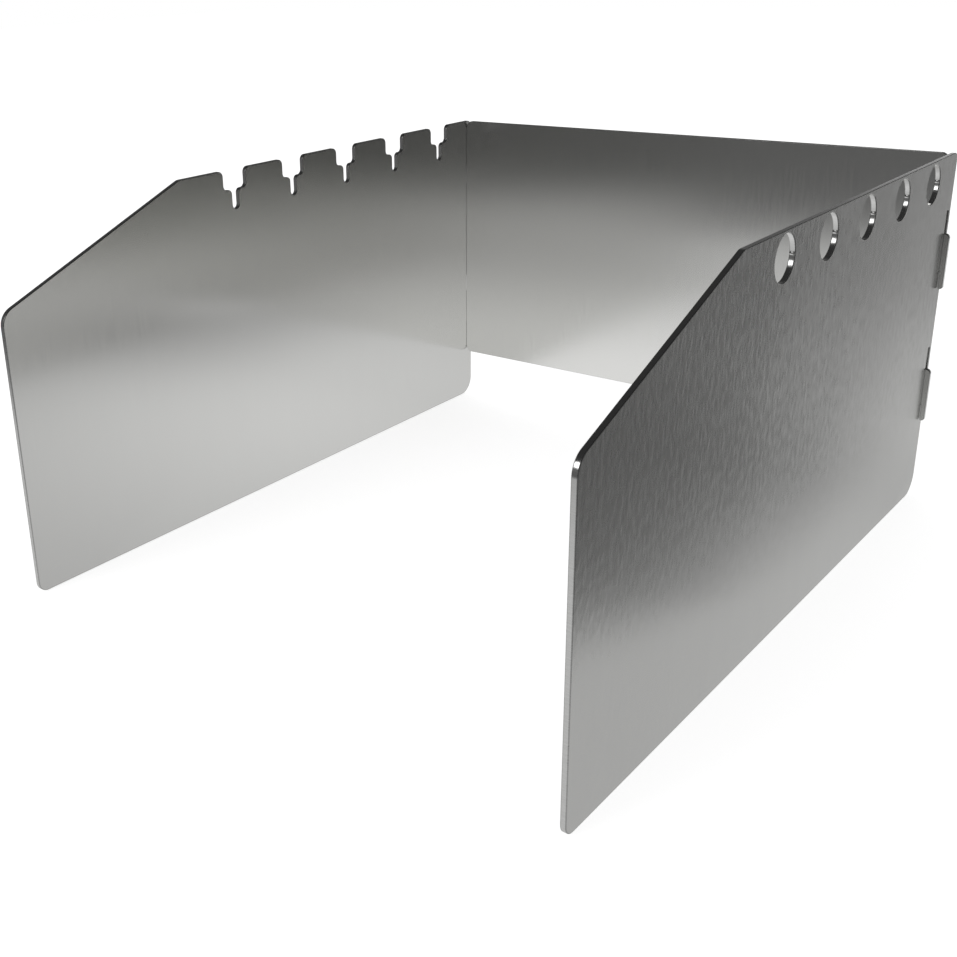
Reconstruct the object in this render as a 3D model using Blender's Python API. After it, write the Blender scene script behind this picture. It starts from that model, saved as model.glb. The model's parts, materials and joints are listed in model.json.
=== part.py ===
"""Grill windscreen: three flat stainless sheets that stand round a small camp grill on three sides.

The back panel has two downward hooks at each end. They pass through upright slots near the rear
edges of the side panels and drop behind the slots' lower ends, so the screen stands without a
fastener and comes apart flat when the back panel is lifted. The right panel has a row of round
holes under its top edge and the left panel a matching row of stepped notches: a skewer goes
through a hole and lies in the notch opposite.

Metres, +Z up. The open front faces -Y and the origin is at the middle of the footprint, on the
surface that the side panels stand on.
"""
import math

import bpy

# Sheet and overall size
SHEET = 0.002
DEPTH = 0.290
WIDTH = 0.236
HEIGHT = 0.146
GAP = 0.0003

# Side panels, measured from the front lower corner
FRONT_HEIGHT = 0.1115
CHAMFER_RUN = 0.089
FRONT_LOWER_RADIUS = 0.004
FRONT_UPPER_RADIUS = 0.007
CHAMFER_TOP_RADIUS = 0.004
REAR_TOP_RADIUS = 0.003
REAR_LOWER_RADIUS = 0.0085

# Skewer stations, shared by the holes and the notches
STATIONS = 5
FIRST_STATION = 0.1195
STATION_PITCH = 0.0357

# Round holes of the right panel
HOLE_RADIUS = 0.0077
HOLE_TOP_STRIP = 0.0010

# Stepped notches of the left panel
NOTCH_WIDTH = 0.013
NOTCH_DEPTH = 0.0082
NOTCH_TOOTH_RADIUS = 0.0024
NOTCH_FLOOR_RADIUS = 0.0020
SEAT_WIDTH = 0.0037
SEAT_DEPTH = 0.0164
SEAT_MOUTH_RADIUS = 0.0020

# Hooks of the back panel and the slots that they drop into
HOOK_TOPS = (0.1140, 0.0567)
HOOK_HEIGHT = 0.0227
NECK_HEIGHT = 0.0156
FINGER_WIDTH = 0.0018
HOOK_TOP_RADIUS = 0.0018
HOOK_TIP_RADIUS = 0.0011
LIFT = 0.009
SLOT_END_RADIUS = 0.0004
REAR_RIM = 0.002

# Back panel
BACK_BOTTOM = 0.024
BACK_CORNER_RADIUS = 0.003

# Fineness of the arcs
ARC_STEP = math.radians(7.5)
HOLE_SIDES = 64


def fillet(before, corner, after, radius):
    """Points of the arc of the given radius that rounds a corner between two straight edges."""
    a = math.atan2(corner[1] - before[1], corner[0] - before[0])
    b = math.atan2(after[1] - corner[1], after[0] - corner[0])
    turn = (b - a + math.pi) % math.tau - math.pi
    if radius == 0 or abs(turn) < 1e-6:
        return [corner[:2]]
    side = math.copysign(1, turn)
    reach = radius * math.tan(abs(turn) / 2)
    centre_u = corner[0] - reach * math.cos(a) - side * radius * math.sin(a)
    centre_v = corner[1] - reach * math.sin(a) + side * radius * math.cos(a)
    steps = max(2, round(abs(turn) / ARC_STEP))
    points = []
    for i in range(steps + 1):
        angle = a - side * math.pi / 2 + turn * i / steps
        points.append((centre_u + radius * math.cos(angle), centre_v + radius * math.sin(angle)))
    return points


def rounded(corners):
    """A closed outline from (u, v, radius) corners, with arcs in place of the corners."""
    outline = []
    for i, corner in enumerate(corners):
        for point in fillet(corners[i - 1], corner, corners[(i + 1) % len(corners)], corner[2]):
            if not outline or math.dist(point, outline[-1]) > 1e-6:
                outline.append(point)
    if math.dist(outline[0], outline[-1]) < 1e-6:
        outline.pop()
    return outline


def circle(centre_u, centre_v, radius):
    angles = [math.tau * i / HOLE_SIDES for i in range(HOLE_SIDES)]
    return [(centre_u + radius * math.cos(a), centre_v + radius * math.sin(a)) for a in angles]


def stations():
    """Distances of the skewer stations from the front edge."""
    return [FIRST_STATION + STATION_PITCH * i for i in range(STATIONS)]


def notch(centre):
    """Corners of one stepped notch in the top edge, taken from the rear towards the front."""
    floor = HEIGHT - NOTCH_DEPTH
    seat = HEIGHT - SEAT_DEPTH
    rear_half = [
        (centre + NOTCH_WIDTH / 2, HEIGHT, NOTCH_TOOTH_RADIUS),
        (centre + NOTCH_WIDTH / 2, floor, NOTCH_FLOOR_RADIUS),
        (centre + SEAT_WIDTH / 2, floor, SEAT_MOUTH_RADIUS),
        (centre + SEAT_WIDTH / 2, seat, SEAT_WIDTH / 2),
    ]
    front_half = [(2 * centre - u, v, radius) for u, v, radius in reversed(rear_half)]
    return rear_half + front_half


def side_corners(top_edge=()):
    """Corners of a side panel, with the corners in its top edge listed from the rear."""
    return [
        (0, 0, FRONT_LOWER_RADIUS),
        (DEPTH, 0, REAR_LOWER_RADIUS),
        (DEPTH, HEIGHT, REAR_TOP_RADIUS),
        *top_edge,
        (CHAMFER_RUN, HEIGHT, CHAMFER_TOP_RADIUS),
        (0, FRONT_HEIGHT, FRONT_UPPER_RADIUS),
    ]


def hook_slots():
    """Upright slots, as wide as the sheet with a gap on each side, just ahead of the rear rim."""
    rear = DEPTH - REAR_RIM
    front = rear - SHEET - 2 * GAP
    slots = []
    for hook_top in HOOK_TOPS:
        low = hook_top - NECK_HEIGHT - GAP
        high = hook_top + LIFT + GAP
        corners = [(front, low), (rear, low), (rear, high), (front, high)]
        slots.append(rounded([(u, v, SLOT_END_RADIUS) for u, v in corners]))
    return slots


def left_outlines():
    notches = [corner for centre in reversed(stations()) for corner in notch(centre)]
    return [rounded(side_corners(notches)), *hook_slots()]


def right_outlines():
    hole_height = HEIGHT - HOLE_TOP_STRIP - HOLE_RADIUS
    holes = [circle(centre, hole_height, HOLE_RADIUS) for centre in stations()]
    return [rounded(side_corners()), *holes, *hook_slots()]


def hook(top):
    """Corners of the right-hand hook, from its neck down round the finger and up to its top."""
    edge = WIDTH / 2 - SHEET - GAP
    finger = WIDTH / 2 + GAP
    tip = finger + FINGER_WIDTH
    return [
        (edge, top - NECK_HEIGHT, 0),
        (finger, top - NECK_HEIGHT, 0),
        (finger, top - HOOK_HEIGHT, HOOK_TIP_RADIUS / 2),
        (tip, top - HOOK_HEIGHT, HOOK_TIP_RADIUS),
        (tip, top, HOOK_TOP_RADIUS),
        (edge, top, 0),
    ]


def back_outlines():
    """The back panel, half drawn and mirrored, between the side panels with a gap to each."""
    edge = WIDTH / 2 - SHEET - GAP
    right = [(edge, BACK_BOTTOM, BACK_CORNER_RADIUS)]
    for top in reversed(HOOK_TOPS):
        right += hook(top)
    right.append((edge, HEIGHT, BACK_CORNER_RADIUS))
    left = [(-u, v, radius) for u, v, radius in reversed(right)]
    return [rounded(right + left)]


def stainless(name, grey):
    material = bpy.data.materials.new(name)
    material.use_nodes = True
    shader = material.node_tree.nodes["Principled BSDF"]
    shader.inputs["Base Color"].default_value = (grey, grey, grey * 0.97, 1)
    shader.inputs["Metallic"].default_value = 1
    shader.inputs["Roughness"].default_value = 0.38
    return material


def sheet(name, outlines, grey, location, rotation, parent, collection):
    """A flat sheet cut to its outlines: the first is its edge and the others are openings."""
    curve = bpy.data.curves.new(name, "CURVE")
    curve.dimensions = "2D"
    curve.fill_mode = "BOTH"
    curve.extrude = SHEET / 2
    for outline in outlines:
        spline = curve.splines.new("POLY")
        spline.points.add(len(outline) - 1)
        for point, (u, v) in zip(spline.points, outline):
            point.co = (u, v, 0, 1)
        spline.use_cyclic_u = True
    curve.materials.append(stainless(name + "_steel", grey))
    panel = bpy.data.objects.new(name, curve)
    panel.location = location
    panel.rotation_euler = rotation
    panel.parent = parent
    collection.objects.link(panel)
    return panel


def build():
    for old in list(bpy.data.objects):
        bpy.data.objects.remove(old)
    collection = bpy.data.collections.new("grill_windscreen")
    bpy.context.scene.collection.children.link(collection)
    stand = bpy.data.objects.new("stand", None)
    collection.objects.link(stand)

    quarter = math.pi / 2
    side_x = WIDTH / 2 - SHEET / 2
    upright = (quarter, 0, quarter)
    sheet("left_panel", left_outlines(), 0.55, (-side_x, -DEPTH / 2, 0), upright, stand, collection)
    sheet("right_panel", right_outlines(), 0.58, (side_x, -DEPTH / 2, 0), upright, stand, collection)

    back_y = DEPTH / 2 - REAR_RIM - GAP - SHEET / 2
    sheet("back_panel", back_outlines(), 0.52, (0, back_y, 0), (quarter, 0, 0), stand, collection)


build()
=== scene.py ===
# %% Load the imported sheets
import json
import math

import bpy
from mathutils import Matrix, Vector


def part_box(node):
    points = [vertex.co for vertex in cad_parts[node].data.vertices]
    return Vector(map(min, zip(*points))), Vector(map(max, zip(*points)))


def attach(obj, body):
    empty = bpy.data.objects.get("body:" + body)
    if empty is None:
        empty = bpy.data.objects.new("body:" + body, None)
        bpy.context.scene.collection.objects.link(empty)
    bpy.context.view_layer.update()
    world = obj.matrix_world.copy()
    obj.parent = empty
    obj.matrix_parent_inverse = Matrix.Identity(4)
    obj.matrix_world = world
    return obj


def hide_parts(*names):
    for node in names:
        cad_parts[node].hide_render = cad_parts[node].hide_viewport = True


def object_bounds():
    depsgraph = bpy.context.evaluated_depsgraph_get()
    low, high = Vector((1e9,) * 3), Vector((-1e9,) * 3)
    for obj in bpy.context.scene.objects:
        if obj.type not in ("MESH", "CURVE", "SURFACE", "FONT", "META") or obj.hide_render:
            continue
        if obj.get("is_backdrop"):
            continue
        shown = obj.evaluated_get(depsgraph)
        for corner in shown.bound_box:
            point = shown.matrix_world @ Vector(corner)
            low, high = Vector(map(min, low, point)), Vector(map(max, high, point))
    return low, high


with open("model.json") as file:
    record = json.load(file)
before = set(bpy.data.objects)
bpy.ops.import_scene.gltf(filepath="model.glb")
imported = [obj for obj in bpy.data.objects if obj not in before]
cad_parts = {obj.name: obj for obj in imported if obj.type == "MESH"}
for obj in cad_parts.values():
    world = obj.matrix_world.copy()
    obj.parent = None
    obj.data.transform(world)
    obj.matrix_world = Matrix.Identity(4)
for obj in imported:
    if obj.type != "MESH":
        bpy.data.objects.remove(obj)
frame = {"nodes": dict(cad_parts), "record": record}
cad_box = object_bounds()
print("sheets:", ", ".join(sorted(frame["nodes"])))
print("size in mm:", [round(1000 * side, 1) for side in cad_box[1] - cad_box[0]])

# %% [markdown]
# # A grill windscreen in brushed steel
#
# The object is three flat sheets of stainless steel. The back sheet carries hooks, and the two side
# sheets hang on them by slots, so the screen stands round a small grill and comes apart flat.
#
# The engineering model already has every sheet, slot, hole and notch at its real size. What it lacks
# is what makes steel look like steel: a grain, cut edges with a different finish, and corners that
# are not perfectly sharp. Those are made here.

# %% [markdown]
# ## The camera
#
# Metal shows what is around it, so the viewpoint comes first: every reflection depends on it. The
# place, the angles and the lens come from fitting a camera to the straight edges of the sheets. The
# picture seems to be cut out of a wider one, so its middle is not where the lens pointed, and a lens
# shift makes up for that.

# %% Camera
camera_data = bpy.data.cameras.new("camera")
camera_data.lens = 46.654
camera_data.sensor_width = 36
camera_data.shift_x = 0.1342
camera_data.shift_y = -0.0507
camera_data.clip_start = 0.01
camera = bpy.data.objects.new("camera", camera_data)
camera.location = (0.25676, -0.38843, 0.22747)
camera.rotation_euler = [math.radians(turn) for turn in (68.987, 1.985, 40.151)]
bpy.context.scene.collection.objects.link(camera)
bpy.context.scene.camera = camera
print("camera height in mm:", round(1000 * camera.location.z))

# %% [markdown]
# ## A copy of each sheet to finish
#
# The engineering sheets must not be changed, so each one gets a copy with a mesh of its own. The
# copies arrive as loose triangles. Merging the doubles closes them, and dissolving the edges inside
# flat areas leaves large faces, which is what a bevel needs.
#
# A face can't have a hole in it, so some edges have to stay between the holes. A bevel slides along
# such an edge and turns into a spike where it meets the outline at a shallow angle. So each sheet is
# first cut straight up through the middle of its holes and slots. Those cuts are marked as seams,
# the dissolve keeps them, and they meet every outline squarely.

# %% Copy and weld
SAME_POINT = 1e-6
NEAR = 1e-5
FLAT = math.radians(0.5)


def deselect():
    bpy.ops.object.select_all(action="DESELECT")


def work_on(piece):
    deselect()
    piece.select_set(True)
    bpy.context.view_layer.objects.active = piece


def finishing_copy(node, name, cuts):
    piece = bpy.data.objects.new(name, frame["nodes"][node].data.copy())
    piece.data.name = name
    piece.data.materials.clear()
    bpy.context.scene.collection.objects.link(piece)
    work_on(piece)
    bpy.ops.mesh.customdata_custom_splitnormals_clear()
    bpy.ops.object.mode_set(mode="EDIT")
    bpy.ops.mesh.select_all(action="SELECT")
    bpy.ops.mesh.remove_doubles(threshold=SAME_POINT)
    for y in cuts:
        bpy.ops.mesh.select_all(action="SELECT")
        bpy.ops.mesh.bisect(plane_co=(0, y, 0), plane_no=(0, 1, 0))
        bpy.ops.mesh.mark_seam()
    bpy.ops.mesh.select_all(action="SELECT")
    bpy.ops.mesh.remove_doubles(threshold=NEAR)
    bpy.ops.mesh.dissolve_limited(angle_limit=FLAT, delimit={"SEAM"})
    bpy.ops.object.mode_set(mode="OBJECT")
    print(name, "has", len(piece.data.polygons), "faces")
    return piece


openings = {o["name"]: o["box_m"] for o in frame["record"]["physics"]["openings"]}
holes = [openings[name] for name in sorted(openings) if name.startswith("skewer_hole")]
hole_centres = [(Vector(low) + Vector(high)) / 2 for low, high in holes]
slot_middle = sum(corner.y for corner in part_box("back_panel")) / 2

left = finishing_copy("left_panel", "left_sheet", [slot_middle])
right = finishing_copy("right_panel", "right_sheet", [c.y for c in hole_centres] + [slot_middle])
back = finishing_copy("back_panel", "back_sheet", [])

# %% [markdown]
# ## Where the laser went in
#
# A laser cuts a round hole by piercing the waste inside it, running out to the outline and going
# once round. Where it meets its own start it leaves a small bead of metal across the wall of the
# hole. On these holes the bead is at the rear, half way up.
#
# The edge that runs through the sheet at that spot is bevelled into a narrow strip, and the line in
# the middle of the strip is pulled into the hole, which gives a sharp ridge. Its upper side mirrors
# the dark studio and its lower side the bright table: a dark line with a light one under it.

# %% Beads in the round holes
BEAD_WIDTH = 0.0006
BEAD_HEIGHT = 0.0004


def select_points(piece, wanted):
    """Selects the points that the test accepts, in edit mode, and returns how many there are."""
    bpy.ops.object.mode_set(mode="EDIT")
    bpy.ops.mesh.select_all(action="DESELECT")
    bpy.ops.mesh.select_mode(type="VERT")
    bpy.ops.object.mode_set(mode="OBJECT")
    for point in piece.data.vertices:
        point.select = wanted(point.co)
    found = sum(point.select for point in piece.data.vertices)
    bpy.ops.object.mode_set(mode="EDIT")
    return found


def raise_bead(piece, centre, radius):
    def at_rear(co):
        return abs(co.y - centre.y - radius) < 2 * NEAR and abs(co.z - centre.z) < 2 * NEAR

    found = select_points(piece, at_rear)
    bpy.ops.mesh.bevel(offset=BEAD_WIDTH / 2, segments=2, profile=1, affect="EDGES")
    select_points(piece, at_rear)
    bpy.ops.transform.translate(value=(0, -BEAD_HEIGHT, 0))
    bpy.ops.object.mode_set(mode="OBJECT")
    return found


work_on(right)
for centre in hole_centres:
    radius = min(math.hypot(v.co.y - centre.y, v.co.z - centre.z) for v in right.data.vertices)
    found = raise_bead(right, centre, radius)
    print("hole radius", round(1000 * radius, 2), "mm, points at the bead:", found)

# %% [markdown]
# ## Closing the joints
#
# The engineering model leaves a gap of 0.3 mm between the ends of the back sheet and the side
# sheets, so that the parts slide freely. On the real screen the back sheet touches the sides, and no
# light shows between them. The ends of the finished copy are moved out by 0.2 mm. The front wall of
# each slot comes back by as much: its points are flattened on to a plane by a scale of zero. Both
# leave a gap too fine to see.

# %% Widen the back sheet and narrow the slots
CLOSING = 0.0002
BELOW_HOOKS = 0.030
AHEAD_OF_BACK = 0.0005
back_end = max(v.co.x for v in back.data.vertices if v.co.z < BELOW_HOOKS)
work_on(back)
for side in (-1, 1):
    found = select_points(back, lambda co: abs(co.x * side - back_end) < NEAR)
    bpy.ops.transform.translate(value=(side * CLOSING, 0, 0))
    bpy.ops.object.mode_set(mode="OBJECT")
    print("points moved out from", round(1000 * back_end, 2), "mm:", found)

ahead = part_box("back_panel")[0].y - AHEAD_OF_BACK
slot_front = CLOSING + min(
    v.co.y for v in left.data.vertices if v.co.y > ahead and v.co.z > BELOW_HOOKS
)
inner_side = min(abs(v.co.x) for v in left.data.vertices)


def at_slot_front(co):
    return ahead < co.y < slot_front and co.z > BELOW_HOOKS


for piece in (left, right):
    work_on(piece)
    found = select_points(piece, at_slot_front)
    bpy.ops.transform.resize(value=(1, 0, 1), center_override=(0, slot_front, 0))
    bpy.ops.object.mode_set(mode="OBJECT")
    print(piece.name, "slot front now at", round(1000 * slot_front, 2), "mm, points:", found)

# %% [markdown]
# ## Edges that catch the light
#
# No cut edge is perfectly sharp: it is tumbled or brushed after cutting, which leaves a rounding of
# two or three tenths of a millimetre. From half a metre away that rounding draws the fine dark and
# bright lines along the outline, and painted shade on the rounding darkens the dark ones.
#
# Every edge that turns by more than 40 degrees gets a bevel weight, and a bevel modifier rounds what
# has one. Two kinds of edge lose their weight again, because they meet another sheet and a rounding
# would open a dark groove there: the upright ends of the back sheet, and the slots' front edges on
# the inner side. A weighted normal modifier then lets the large faces keep their true direction, so
# that they stay flat in the light.

# %% Round the cut edges
SIDE_ROUNDING = 0.0003
BACK_ROUNDING = 0.0002
SHARP_TURN = math.radians(40)
SMOOTH_TURN = math.radians(35)


def meets_side(co):
    return abs(abs(co.x) - back_end - CLOSING) < NEAR


def meets_back(co):
    return abs(co.y - slot_front) < NEAR and abs(abs(co.x) - inner_side) < NEAR


def round_edges(piece, rounding, kept_sharp):
    work_on(piece)
    bpy.ops.object.mode_set(mode="EDIT")
    bpy.ops.mesh.select_mode(type="EDGE")
    bpy.ops.mesh.select_all(action="DESELECT")
    bpy.ops.mesh.edges_select_sharp(sharpness=SHARP_TURN)
    bpy.ops.transform.edge_bevelweight(value=1)
    select_points(piece, kept_sharp)
    bpy.ops.transform.edge_bevelweight(value=-1)
    bpy.ops.object.mode_set(mode="OBJECT")
    bevel = piece.modifiers.new("cut_edges", "BEVEL")
    bevel.width = rounding
    bevel.segments = 3
    bevel.limit_method = "WEIGHT"
    bevel.use_clamp_overlap = False
    bpy.ops.object.modifier_apply(modifier=bevel.name)
    bpy.ops.object.shade_smooth_by_angle(angle=SMOOTH_TURN)
    weighted = piece.modifiers.new("flat_faces", "WEIGHTED_NORMAL")
    weighted.weight = 100
    weighted.keep_sharp = True
    bpy.ops.object.modifier_apply(modifier=weighted.name)
    print(piece.name, "rounded:", len(piece.data.polygons), "faces")


round_edges(left, SIDE_ROUNDING, meets_back)
round_edges(right, SIDE_ROUNDING, meets_back)
round_edges(back, BACK_ROUNDING, meets_side)

# %% [markdown]
# ## The direction of the brushing
#
# The sheets were brushed from top to bottom. Brushed metal stretches every reflection across its
# scratches, and the shader reads the direction to stretch in from a UV map. A cube projection lays
# each face out with its upright direction along V, so U runs across the scratches.

# %% Lay out the faces
for piece in (left, right, back):
    work_on(piece)
    bpy.ops.object.mode_set(mode="EDIT")
    bpy.ops.mesh.select_all(action="SELECT")
    bpy.ops.uv.cube_project(cube_size=1.0, correct_aspect=False)
    bpy.ops.object.mode_set(mode="OBJECT")
    piece.data.uv_layers.active.name = "across_grain"
    print(piece.name, "laid out on", piece.data.uv_layers.active.name)

# %% [markdown]
# ## The grain as a node group
#
# All the brushed faces use the same grain, so it is built once as a node group. A noise texture that
# is squeezed sideways and stretched upwards turns into short upright lines. The sheets stand along
# either X or Y, so the sum of the two runs across the grain on any of them. Fine lines lie over
# broader and longer ones, which come from another slice of the noise.
#
# The group puts out three things that change over the surface: the shade of the lines, how rough
# they are, with a slow unevenness of the polish mixed in, and a height for the bump. The roughness
# does most of the work: a rough scratch gathers light from around and shows best in the dark parts.
# An input called Wear makes the grain shallower low down and towards the rear, where hands and the
# slots have rubbed the sheet smoother.


# %% Node helpers
def new_group(name, inputs, outputs):
    group = bpy.data.node_groups.new(name, "ShaderNodeTree")
    for label, kind, value in inputs:
        socket = group.interface.new_socket(label, in_out="INPUT", socket_type=kind)
        if value is not None:
            socket.default_value = value
    for label in outputs:
        group.interface.new_socket(label, in_out="OUTPUT", socket_type="NodeSocketFloat")
    return group, group.nodes.new("NodeGroupInput"), group.nodes.new("NodeGroupOutput")


def feed(tree, socket, value):
    """Gives a socket its value, which is a number or an output to read."""
    if isinstance(value, bpy.types.NodeSocket):
        tree.links.new(value, socket)
    else:
        socket.default_value = value


def calculate(tree, operation, *values):
    node = tree.nodes.new("ShaderNodeMath")
    node.operation = operation
    for socket, value in zip(node.inputs, values):
        feed(tree, socket, value)
    return node.outputs[0]


def product(tree, first, *others):
    for other in others:
        first = calculate(tree, "MULTIPLY", first, other)
    return first


def remap(tree, value, low, high, to_low, to_high, smooth=False):
    """A Map Range node, which holds its result between the two ends."""
    node = tree.nodes.new("ShaderNodeMapRange")
    node.interpolation_type = "SMOOTHSTEP" if smooth else "LINEAR"
    ends = {"From Min": low, "From Max": high, "To Min": to_low, "To Max": to_high}
    for name, number in ends.items():
        feed(tree, node.inputs[name], number)
    feed(tree, node.inputs["Value"], value)
    return node.outputs["Result"]


def mixture(tree, first, second, share):
    """So much of the first value, and the rest of the second."""
    return calculate(tree, "MULTIPLY_ADD", first, share, product(tree, second, 1 - share))


def noise(tree, vector, scale, detail, roughness=0.5):
    node = tree.nodes.new("ShaderNodeTexNoise")
    node.inputs["Scale"].default_value = scale
    node.inputs["Detail"].default_value = detail
    node.inputs["Roughness"].default_value = roughness
    tree.links.new(vector, node.inputs["Vector"])
    return node.outputs["Fac"]


# %% Brushed grain
BROADER = 5
LONGER = 6
LAYER_ROUGHNESS = 0.6
FINE_SHARE_OF_LINES = 0.75
FINE_SHARE_OF_POLISH = 0.7
RANGE_OF_LINES = (0.32, 0.68)
RANGE_OF_POLISH = (0.35, 0.65)
PATCHES_PER_METRE = 14
WORN_BELOW = (0.085, 0.040)
WORN_BEHIND = (-0.08, 0.08)


def build_grain():
    inputs = [
        ("Vector", "NodeSocketVector", None),
        ("Line Width", "NodeSocketFloat", 0.0007),
        ("Line Length", "NodeSocketFloat", 0.010),
        ("Wear", "NodeSocketFloat", 0),
    ]
    group, given, out = new_group("brushed_grain", inputs, ("Shade", "Polish", "Height"))
    parts = group.nodes.new("ShaderNodeSeparateXYZ")
    group.links.new(given.outputs["Vector"], parts.inputs[0])
    across = calculate(group, "ADD", parts.outputs["X"], parts.outputs["Y"])
    layers = []
    for broader, longer in ((1, 1), (BROADER, LONGER)):
        place = group.nodes.new("ShaderNodeCombineXYZ")
        width = product(group, given.outputs["Line Width"], broader)
        length = product(group, given.outputs["Line Length"], longer)
        group.links.new(calculate(group, "DIVIDE", across, width), place.inputs["X"])
        group.links.new(calculate(group, "DIVIDE", parts.outputs["Z"], length), place.inputs["Y"])
        place.inputs["Z"].default_value = broader
        layers.append(noise(group, place.outputs[0], scale=1, detail=1, roughness=LAYER_ROUGHNESS))
    fine, broad = layers
    slow = noise(group, given.outputs["Vector"], scale=PATCHES_PER_METRE, detail=2)
    lines = mixture(group, fine, broad, FINE_SHARE_OF_LINES)
    polish = mixture(group, fine, slow, FINE_SHARE_OF_POLISH)
    polish = remap(group, polish, *RANGE_OF_POLISH, 0, 1)

    low = remap(group, parts.outputs["Z"], *WORN_BELOW, 0, 1, smooth=True)
    rear = remap(group, parts.outputs["Y"], *WORN_BEHIND, 0, 1, smooth=True)
    rubbed = product(group, calculate(group, "MAXIMUM", low, rear), given.outputs["Wear"])
    depth = calculate(group, "SUBTRACT", 1, rubbed)
    uneven = calculate(group, "MULTIPLY_ADD", calculate(group, "SUBTRACT", polish, 0.5), depth, 0.5)
    group.links.new(remap(group, lines, *RANGE_OF_LINES, 0, 1), out.inputs["Shade"])
    group.links.new(uneven, out.inputs["Polish"])
    group.links.new(product(group, fine, depth), out.inputs["Height"])
    return group


grain = build_grain()
print("grain puts out:", [s.name for s in grain.interface.items_tree if s.in_out == "OUTPUT"])

# %% [markdown]
# ## The marks of the cut as a node group
#
# A laser leaves close, fine ridges that run straight through the thickness of the sheet. They are
# noise again, stretched through the sheet and squeezed along its outline. Which axis is "through"
# differs between the side sheets and the back sheet, so the stretch is an input.

# %% Cut ridges
RANGE_OF_RIDGES = (0.3, 0.7)


def build_cut():
    inputs = [
        ("Vector", "NodeSocketVector", None),
        ("Stretch", "NodeSocketVector", (1, 1, 1)),
    ]
    group, given, out = new_group("laser_ridges", inputs, ("Shade", "Height"))
    stretched = group.nodes.new("ShaderNodeVectorMath")
    stretched.operation = "MULTIPLY"
    group.links.new(given.outputs["Vector"], stretched.inputs[0])
    group.links.new(given.outputs["Stretch"], stretched.inputs[1])
    ridges = noise(group, stretched.outputs[0], scale=1, detail=3)
    group.links.new(remap(group, ridges, *RANGE_OF_RIDGES, 0, 1), out.inputs["Shade"])
    group.links.new(ridges, out.inputs["Height"])
    return group


ridges = build_cut()
print("ridges put out:", [s.name for s in ridges.interface.items_tree if s.in_out == "OUTPUT"])

# %% [markdown]
# ## The finishes
#
# The faces are brushed stainless steel: all metal, a neutral grey with a trace of warmth. The lines
# of the grain hardly change its colour. They change how rough it is and tilt the surface by a degree
# or two through a bump, so they show where the reflection changes and vanish where it is even. The
# side that is turned outwards has a grain of short coarse lines, or of finer and longer ones on the
# back sheet. The side turned to the grill has a satin finish. On the back sheet that side is a
# lighter copy of the same steel: painted light, which makes it brighter than on the side sheets.


# %% Brushed faces
def steel(name, dark, light, roughness, group, settings, bump):
    """A metal whose colour, roughness and bump follow the outputs of a group."""
    material = bpy.data.materials.new(name)
    material.use_nodes = True
    tree = material.node_tree
    shader = tree.nodes["Principled BSDF"]
    shader.inputs["Metallic"].default_value = 1
    place = tree.nodes.new("ShaderNodeTexCoord")
    pattern = tree.nodes.new("ShaderNodeGroup")
    pattern.node_tree = group
    tree.links.new(place.outputs["Object"], pattern.inputs["Vector"])
    for label, value in settings.items():
        pattern.inputs[label].default_value = value
    colour = tree.nodes.new("ShaderNodeMix")
    colour.data_type = "RGBA"
    colour.inputs["A"].default_value = (*dark, 1)
    colour.inputs["B"].default_value = (*light, 1)
    tree.links.new(pattern.outputs["Shade"], colour.inputs["Factor"])
    tree.links.new(colour.outputs["Result"], shader.inputs["Base Color"])
    evenness = pattern.outputs["Polish" if "Polish" in pattern.outputs else "Shade"]
    tree.links.new(remap(tree, evenness, 0, 1, *roughness), shader.inputs["Roughness"])
    relief = tree.nodes.new("ShaderNodeBump")
    relief.inputs["Distance"].default_value = bump
    tree.links.new(pattern.outputs["Height"], relief.inputs["Height"])
    tree.links.new(relief.outputs["Normal"], shader.inputs["Normal"])
    return material


def brush(material, stretch):
    """Stretches the reflections of a metal across its grain."""
    tree = material.node_tree
    shader = tree.nodes["Principled BSDF"]
    shader.inputs["Anisotropic"].default_value = stretch
    across = tree.nodes.new("ShaderNodeTangent")
    across.direction_type = "UV_MAP"
    across.uv_map = "across_grain"
    tree.links.new(across.outputs["Tangent"], shader.inputs["Tangent"])


coarse = {"Line Width": 0.0022, "Line Length": 0.0050, "Wear": 0.72}
long_lines = {"Line Width": 0.0012, "Line Length": 0.012}
satin_lines = {"Line Width": 0.0012, "Line Length": 0.014}
GRAINED = {"dark": (0.68, 0.68, 0.667), "light": (0.71, 0.71, 0.693), "roughness": (0.20, 0.31)}
SATIN = {"dark": (0.685, 0.685, 0.672), "light": (0.70, 0.70, 0.685), "roughness": (0.17, 0.20)}
# Painted light: the back sheet's inner side is the same satin steel painted lighter.
SATIN_PAINTED_LIGHTER = {"dark": (0.825, 0.825, 0.81), "light": (0.84, 0.84, 0.82), "roughness": (0.17, 0.20)}
STRETCH = 0.9

grained_steel = steel("grained_steel", **GRAINED, group=grain, settings=coarse, bump=1e-4)
grained_back = steel("grained_back", **GRAINED, group=grain, settings=long_lines, bump=3e-5)
satin_steel = steel("satin_steel", **SATIN, group=grain, settings=satin_lines, bump=4e-6)
satin_painted_lighter = steel("satin_painted_lighter", **SATIN_PAINTED_LIGHTER, group=grain, settings=satin_lines, bump=4e-6)
for material in (grained_steel, grained_back, satin_steel, satin_painted_lighter):
    brush(material, STRETCH)
    print(material.name, "has", len(material.node_tree.nodes), "nodes")
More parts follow.
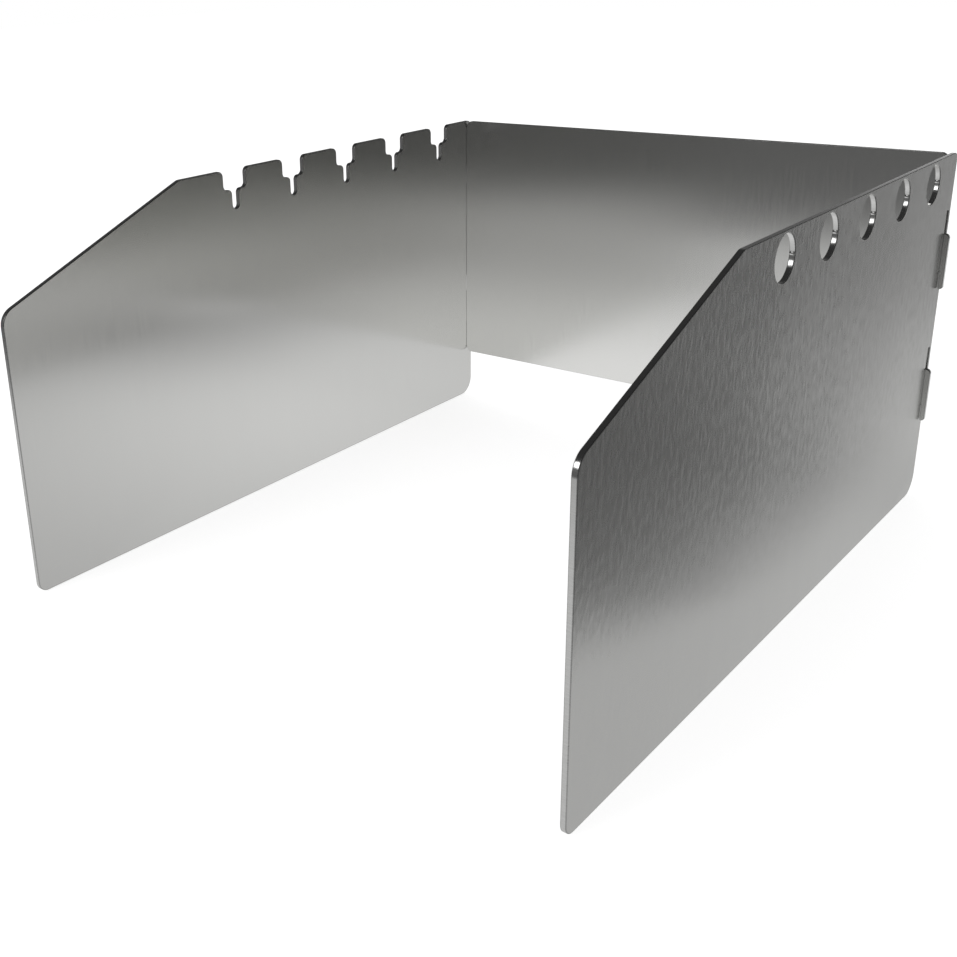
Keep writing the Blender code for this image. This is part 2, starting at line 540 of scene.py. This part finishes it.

# %% [markdown]
# ## The finish of the edges
#
# The cut edges are the same metal without the brushing, smoother and with the ridges. The rounded
# corners between a face and an edge are painted a darker grey: painted shade, which draws a thin dark
# line along the outline. The ridges run through the sheet, so the side sheets and the back sheet each
# get their own stretch.

# %% Cut edges
ACROSS = 3500
THROUGH = 300
side_cut = {"Stretch": (THROUGH, ACROSS, ACROSS)}
back_cut = {"Stretch": (ACROSS, THROUGH, ACROSS)}
CUT_EDGE = {"dark": (0.74, 0.74, 0.73), "light": (0.85, 0.85, 0.84), "roughness": (0.14, 0.22)}
CORNER_PAINTED_DARK = {"dark": (0.42, 0.42, 0.41), "light": (0.56, 0.56, 0.55), "roughness": (0.25, 0.35)}

side_edge = steel("side_edge", **CUT_EDGE, group=ridges, settings=side_cut, bump=3e-6)
back_edge = steel("back_edge", **CUT_EDGE, group=ridges, settings=back_cut, bump=3e-6)
# Painted shade: the rounded corners are a darker grey than the cut edges beside them.
painted_dark_corner = steel("painted_dark_corner", **CORNER_PAINTED_DARK, group=ridges, settings=side_cut, bump=2e-6)
print("cut edges:", side_edge.name, back_edge.name, "and their corners:", painted_dark_corner.name)

# %% [markdown]
# ## Putting the finishes on
#
# Each sheet has the grained steel on the large face turned outwards, the satin steel on the one
# turned inwards, painted lighter on the back sheet, the cut steel on the edges that run through it,
# and the steel painted darker as shade on the rounding between them. How far a face looks along the
# sheet's thin direction tells them apart: fully, not at all, or in between.

# %% Assign the finishes
OUTER, INNER, CUT, CORNER = range(4)
FACES_FULLY = 0.999
FACES_ASIDE = 0.05


def finish_of(face, thin_axis):
    outwards = math.copysign(1, face.center[thin_axis])
    facing = face.normal[thin_axis] * outwards
    if abs(facing) > FACES_FULLY:
        return OUTER if facing > 0 else INNER
    return CUT if abs(facing) < FACES_ASIDE else CORNER


def finish_sheet(piece, outer_steel, inner_steel, cut_steel, thin_axis):
    for finish in (outer_steel, inner_steel, cut_steel, painted_dark_corner):
        piece.data.materials.append(finish)
    for face in piece.data.polygons:
        face.material_index = finish_of(face, thin_axis)
    kinds = [face.material_index for face in piece.data.polygons]
    counts = [kinds.count(kind) for kind in (OUTER, INNER, CUT, CORNER)]
    print(piece.name, "has outer, inner, cut and corner faces:", counts)


X_AXIS, Y_AXIS = 0, 1
finish_sheet(left, grained_steel, satin_steel, side_edge, X_AXIS)
finish_sheet(right, grained_steel, satin_steel, side_edge, X_AXIS)
finish_sheet(back, grained_back, satin_painted_lighter, back_edge, Y_AXIS)

# %% [markdown]
# ## Hooking the sheets together
#
# The real back sheet lifts out of the slots. Each finished copy takes the place of its engineering
# sheet and moves with the same body, so it follows that motion.

# %% Stand each copy in for its sheet
for piece, node, body, slot in (
    (left, "left_panel", "left", "side_sheet"),
    (right, "right_panel", "right", "side_sheet"),
    (back, "back_panel", "back", "back_sheet"),
):
    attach(piece, body)
    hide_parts(node)
    print(piece.name, "moves with", body)

# %% [markdown]
# ## The table
#
# Flat steel seen from above mirrors the table it stands on, so the table is the main light of this
# picture. To the camera it is plain white with a soft shadow. What the metal sees is a painted pool
# of light that is brightest beside the screen and fades outwards, as under a soft lamp over a table,
# with painted shade to the right and a painted shadow of the right sheet inside the bay. The painted
# shade to the right gives the right sheet its dark upper half.
#
# The pool is worked out from the place on the floor, and only reflections read it. Everything else
# sees an ordinary pale surface. Each ramp below is two places in metres and the two values that
# belong to them.

# %% Light of the bare table
POOL_CENTRE = (-0.06, 0.06, 0)
BRIGHT_MIDDLE = (0, 0.27, 0.835, 0.557)
FADING_OUT = (0.34, 0.66, 1, 0.20)
SHADED_IN_FRONT = (-0.24, -0.36, 0, 0.6)
SHADED_AT_LEFT = (0.02, -0.12, 0, 1)
LEAST_LIGHT = (-0.30, 0.40, 0.11, 0.15)
RIGHT_SHEET = (0.1170, 0.1175, 1, 0)
GAIN_BEYOND_SHEET = (0.13, 0.24, 0, 0.12)
PAINTED_SHADOW_BESIDE_SHEET = (-0.02, 0.11, 0, 0.27)
REAR_OF_BAY = (0, 0.12, 0, 1)


def table_light(tree, x, y, away):
    bright = remap(tree, away, *BRIGHT_MIDDLE, smooth=True)
    fading = remap(tree, away, *FADING_OUT, smooth=True)
    in_front = remap(tree, y, *SHADED_IN_FRONT, smooth=True)
    at_left = remap(tree, x, *SHADED_AT_LEFT, smooth=True)
    shaded = calculate(tree, "SUBTRACT", 1, product(tree, in_front, at_left))

    inside = remap(tree, x, *RIGHT_SHEET)
    outside = calculate(tree, "SUBTRACT", 1, inside)
    gain = product(tree, remap(tree, y, *GAIN_BEYOND_SHEET, smooth=True), outside)
    beyond = calculate(tree, "ADD", gain, 1)
    # Painted shadow of the right sheet on the table inside the bay, deepest beside it and at the rear.
    rear = remap(tree, y, *REAR_OF_BAY, smooth=True)
    painted_shadow = product(tree, remap(tree, x, *PAINTED_SHADOW_BESIDE_SHEET, smooth=True), rear, inside)
    bay = calculate(tree, "SUBTRACT", 1, painted_shadow)

    table = product(tree, bright, fading, shaded, beyond, bay)
    return calculate(tree, "MAXIMUM", table, remap(tree, x, *LEAST_LIGHT))


print("brightest at:", POOL_CENTRE)

# %% [markdown]
# ## The painted shade on the right
#
# The painted shade begins a little to the right of the screen, and further right towards the
# front, so that the border in the right sheet slants. The border is sharp beside the open front and
# softer towards the rear. Within it the shade fans out from one point, dark at the front and lighter
# at the rear, so the right sheet grows lighter towards its rear edge.

# %% Level of the painted shade
PAINTED_SHADE_START = 0.152
START_PER_METRE_IN_FRONT = 0.35
SOFT_FROM = 0.03
BORDER_WIDTH = 0.012
WIDTH_PER_METRE_BEHIND = 0.2
BORDER_SHARE = 0.7
SLOW_BORDER = (0.008, 0.060, 0, 0.3)
FAN_CENTRE = (-0.02, -0.388)
FAN_LEAST = 0.05
FAN = (0.54, 0.27, 0, 1)
FAN_POWER = 4.1
PAINTED_SHADE_GAIN = 0.86
PAINTED_SHADE_DARKEST = 0.122
PAINTED_SHADE_FALLS = (0.16, 0.30, 1.45, 0.86)


# Painted shade in the floor's glow, which only reflections see.
def painted_shade_cover(tree, x, y):
    """Nought on the bare table and one under the painted shade."""
    in_front = calculate(tree, "MAXIMUM", product(tree, y, -1), 0)
    start = calculate(tree, "MULTIPLY_ADD", in_front, START_PER_METRE_IN_FRONT, PAINTED_SHADE_START)
    behind = calculate(tree, "MAXIMUM", calculate(tree, "SUBTRACT", y, SOFT_FROM), 0)
    width = calculate(tree, "MULTIPLY_ADD", behind, WIDTH_PER_METRE_BEHIND, BORDER_WIDTH)
    past = calculate(tree, "SUBTRACT", x, start)
    border = remap(tree, past, 0, width, 0, BORDER_SHARE, smooth=True)
    return calculate(tree, "ADD", border, remap(tree, past, *SLOW_BORDER))


def painted_shade_level(tree, x, y):
    aside = calculate(tree, "SUBTRACT", x, FAN_CENTRE[0])
    ahead = calculate(tree, "MAXIMUM", calculate(tree, "SUBTRACT", y, FAN_CENTRE[1]), FAN_LEAST)
    opening = remap(tree, calculate(tree, "DIVIDE", aside, ahead), *FAN)
    opened = calculate(tree, "POWER", opening, FAN_POWER)
    painted_shade = calculate(tree, "MULTIPLY_ADD", opened, PAINTED_SHADE_GAIN, PAINTED_SHADE_DARKEST)
    return product(tree, painted_shade, remap(tree, x, *PAINTED_SHADE_FALLS))


print("card starts at mm:", round(1000 * PAINTED_SHADE_START))

# %% [markdown]
# ## Both together
#
# The painted shade lies over the table by its cover. The whole floor then gets a little lighter
# behind the screen and dims again further off.

# %% Pool of light
LIGHTER_BEHIND = (0.12, 0.22, 1, 1.13)
DIM_FAR_OFF = (0.27, 0.45, 1, 0.85)


def build_pool():
    inputs = [("Vector", "NodeSocketVector", None)]
    group, given, out = new_group("pool_of_light", inputs, ("Level",))
    parts = group.nodes.new("ShaderNodeSeparateXYZ")
    group.links.new(given.outputs["Vector"], parts.inputs[0])
    x, y = parts.outputs["X"], parts.outputs["Y"]
    away = group.nodes.new("ShaderNodeVectorMath")
    away.operation = "DISTANCE"
    group.links.new(given.outputs["Vector"], away.inputs[0])
    away.inputs[1].default_value = POOL_CENTRE

    table = table_light(group, x, y, away.outputs["Value"])
    difference = calculate(group, "SUBTRACT", painted_shade_level(group, x, y), table)
    level = calculate(group, "MULTIPLY_ADD", painted_shade_cover(group, x, y), difference, table)
    level = product(group, level, remap(group, y, *LIGHTER_BEHIND), remap(group, y, *DIM_FAR_OFF))
    group.links.new(level, out.inputs["Level"])
    return group


pool = build_pool()
print("pool nodes:", len(pool.nodes))

# %% [markdown]
# ## The floor
#
# The floor is one plane, a hair below the feet. Its material has two sides: rays that metal sends
# out find the pool of light, and all others a matt white that holds the shadow. The camera sees a
# glow on top of it, which lifts it to pure white away from the shadow. Light Path tells the rays
# apart, and it stays in the material, outside the group.

# %% Floor
FLOOR_SIDE = 8
BELOW_FEET = 0.00005
MATT_WHITE = 0.8
SEEN_WHITE = 0.74

deselect()
bpy.ops.mesh.primitive_plane_add(size=FLOOR_SIDE, location=(0, 0, -BELOW_FEET))
floor = bpy.context.object
floor.name = "floor"
bpy.ops.object.transform_apply(location=True)


def seen_by_metal(tree, ray):
    """One for the rays that metal or glass sends out, and nought for all others."""
    return calculate(tree, "MAXIMUM", ray.outputs["Is Glossy Ray"], ray.outputs["Is Transmission Ray"])


paint = bpy.data.materials.new("floor_paint")
paint.use_nodes = True
tree = paint.node_tree
tree.nodes.clear()
place = tree.nodes.new("ShaderNodeTexCoord")
light_pool = tree.nodes.new("ShaderNodeGroup")
light_pool.node_tree = pool
tree.links.new(place.outputs["Object"], light_pool.inputs["Vector"])
ray = tree.nodes.new("ShaderNodeLightPath")
matt = tree.nodes.new("ShaderNodeBsdfDiffuse")
matt.inputs["Color"].default_value = (MATT_WHITE, MATT_WHITE, MATT_WHITE, 1)
glow = tree.nodes.new("ShaderNodeEmission")
mirrored = seen_by_metal(tree, ray)
in_metal = product(tree, mirrored, light_pool.outputs["Level"])
direct = product(tree, ray.outputs["Is Camera Ray"], SEEN_WHITE)
tree.links.new(calculate(tree, "ADD", in_metal, direct), glow.inputs["Strength"])
black = tree.nodes.new("ShaderNodeEmission")
black.inputs["Strength"].default_value = 0
lit = tree.nodes.new("ShaderNodeMixShader")
tree.links.new(mirrored, lit.inputs["Fac"])
tree.links.new(matt.outputs[0], lit.inputs[1])
tree.links.new(black.outputs[0], lit.inputs[2])
both = tree.nodes.new("ShaderNodeAddShader")
tree.links.new(lit.outputs[0], both.inputs[0])
tree.links.new(glow.outputs[0], both.inputs[1])
surface = tree.nodes.new("ShaderNodeOutputMaterial")
tree.links.new(both.outputs[0], surface.inputs["Surface"])
floor.data.materials.append(paint)
floor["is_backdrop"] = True
print("floor:", [round(side, 2) for side in floor.dimensions])

# %% [markdown]
# ## The room
#
# The room is white to the camera. Metal that faces upwards, such as the slanted front edges, sees a
# dark studio, which gives the dark outline, with one pale card standing low down behind the screen.
# The walls are worked out from the direction of the ray: Z is how steeply it rises and Y how
# straight it goes to the rear.

# %% World
DIM_OVERHEAD = (0.10, 0.75, 0.11, 0.03)
PALE_CARD_BEHIND = (0.915, 0.960, 0, 0.8)
TOP_OF_PALE_CARD = (0.13, 0.18, 1, 0)
FILL_LIGHT = 0.5

world = bpy.data.worlds.new("room")
bpy.context.scene.world = world
world.use_nodes = True
tree = world.node_tree
background = tree.nodes["Background"]
direction = tree.nodes.new("ShaderNodeTexCoord")
parts = tree.nodes.new("ShaderNodeSeparateXYZ")
tree.links.new(direction.outputs["Generated"], parts.inputs[0])
dim = remap(tree, parts.outputs["Z"], *DIM_OVERHEAD, smooth=True)
behind = remap(tree, parts.outputs["Y"], *PALE_CARD_BEHIND, smooth=True)
wall = product(tree, behind, remap(tree, parts.outputs["Z"], *TOP_OF_PALE_CARD))
studio = calculate(tree, "MAXIMUM", dim, wall)
ray = tree.nodes.new("ShaderNodeLightPath")
in_metal = product(tree, seen_by_metal(tree, ray), studio)
plain = product(tree, ray.outputs["Is Diffuse Ray"], FILL_LIGHT)
total = calculate(tree, "ADD", calculate(tree, "ADD", in_metal, plain), ray.outputs["Is Camera Ray"])
tree.links.new(total, background.inputs["Strength"])
background.inputs["Color"].default_value = (1, 1, 1, 1)
print("world nodes:", len(tree.nodes))

# %% [markdown]
# ## The lamp
#
# One large soft lamp at the front left lays down the shadow and puts a spark on the rounded corners
# and on the walls of the holes. It is aimed at the middle of the screen, a little above the floor.

# %% Lamp
AIM = Vector((0, 0, 0.05))
lamp_data = bpy.data.lights.new("soft_lamp", "AREA")
lamp_data.shape = "SQUARE"
lamp_data.size = 0.5
lamp_data.energy = 1.6
lamp = bpy.data.objects.new("soft_lamp", lamp_data)
lamp.location = (-0.38, -1.15, 0.79)
lamp.rotation_euler = (AIM - lamp.location).to_track_quat("-Z", "Y").to_euler()
bpy.context.scene.collection.objects.link(lamp)
print("lamp distance:", round(lamp.location.length, 2))

# %% [markdown]
#
# The Standard view shows colours as they are worked out. The finished sheets are meant to keep the
# size of the engineering model, so the largest difference between the two boxes is printed.

# %% Finish
bpy.context.scene.view_settings.view_transform = "Standard"
visual_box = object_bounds()
gaps = [abs(a - b) for p, q in zip(cad_box, visual_box) for a, b in zip(p, q)]
print("largest difference in mm:", round(1000 * max(gaps), 3))
